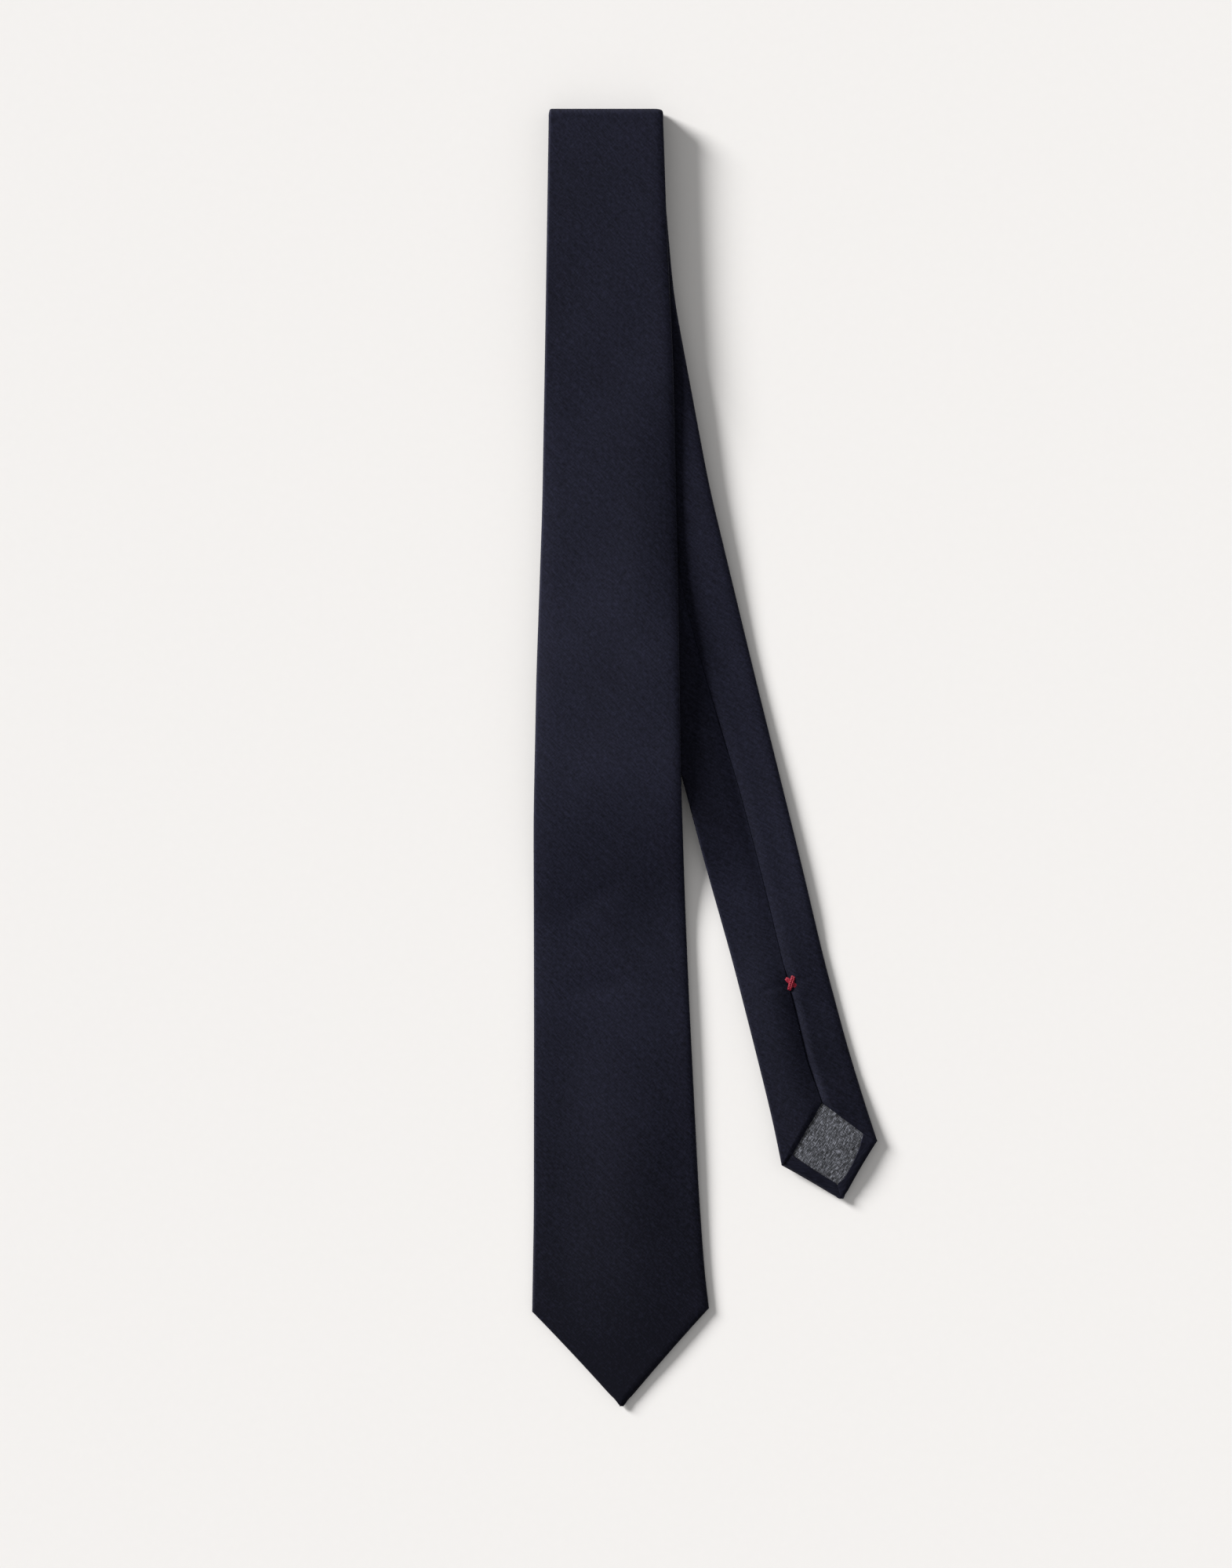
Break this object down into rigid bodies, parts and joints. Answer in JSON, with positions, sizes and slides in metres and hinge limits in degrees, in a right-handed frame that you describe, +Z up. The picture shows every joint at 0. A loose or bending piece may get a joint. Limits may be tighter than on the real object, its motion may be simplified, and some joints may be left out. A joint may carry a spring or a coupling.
{
  "type": "necktie",
  "caption": "Long tapered cloth band for the neck, folded flat with its wide end on top and its narrow end fanned out beneath.",
  "frame": {"origin": "middle of the folded tie's outline, on the surface that it lies on", "axes": "+X across the tie, towards the narrow end; +Y along it, towards the top fold; +Z up from the surface"},
  "size_m": [0.1662, 0.6244, 0.015],
  "materials": {
    "shell_cloth": "fine navy weave, satin matte",
    "interlining": "brushed wool blend, undyed",
    "tipping_cloth": "grey melange lining",
    "tack_thread": "twisted red thread",
    "seam_thread": "twisted navy thread"
  },
  "bodies": {
    "neck": {"neck_shell": "shell_cloth", "neck_interlining": "interlining", "neck_slip_stitches": "seam_thread", "blade_neck_seam_thread": "seam_thread", "neck_tail_seam_thread": "seam_thread"},
    "blade": {"top_fold_shell": "shell_cloth", "top_fold_interlining": "interlining", "blade_upper_shell": "shell_cloth", "blade_upper_interlining": "interlining", "blade_upper_slip_stitches": "seam_thread", "keeper_loop": "shell_cloth", "keeper_tacks": "seam_thread"},
    "blade_tip": {"blade_bend_shell": "shell_cloth", "blade_bend_interlining": "interlining", "blade_end_shell": "shell_cloth", "blade_end_interlining": "interlining", "blade_end_slip_stitches": "seam_thread", "blade_tipping": "tipping_cloth", "blade_bar_tack": "tack_thread"},
    "tail": {"tail_turn_shell": "shell_cloth", "tail_turn_interlining": "interlining", "tail_upper_shell": "shell_cloth", "tail_upper_interlining": "interlining", "tail_upper_slip_stitches": "seam_thread"},
    "tail_tip": {"tail_bend_shell": "shell_cloth", "tail_bend_interlining": "interlining", "tail_end_shell": "shell_cloth", "tail_end_interlining": "interlining", "tail_end_slip_stitches": "seam_thread", "tail_tipping": "tipping_cloth", "tail_bar_tack": "tack_thread"}
  },
  "joints": [
    {"name": "top_fold_open", "type": "hinge", "parent": "neck", "child": "blade", "pos_m": [-0.0476, 0.30545, 0.00675], "axis": [-1, 0, 0], "range_deg": [0, 150], "deforming": ["top_fold_shell", "top_fold_interlining"]},
    {"name": "blade_flex", "type": "hinge", "parent": "blade", "child": "blade_tip", "pos_m": [-0.0435, -0.14, 0.0015], "axis": [-1, 0, 0], "range_deg": [0, 60], "deforming": ["blade_bend_shell", "blade_bend_interlining"]},
    {"name": "tail_swing", "type": "hinge", "parent": "neck", "child": "tail", "pos_m": [-0.0365, 0.215, 0.0085], "axis": [0, 0, 1], "range_deg": [0, 12], "deforming": ["tail_turn_shell", "tail_turn_interlining"]},
    {"name": "tail_flex", "type": "hinge", "parent": "tail", "child": "tail_tip", "pos_m": [0.026, -0.062, 0.0015], "axis": [-0.9681, -0.2504, 0], "range_deg": [0, 75], "deforming": ["tail_bend_shell", "tail_bend_interlining"]}
  ]
}
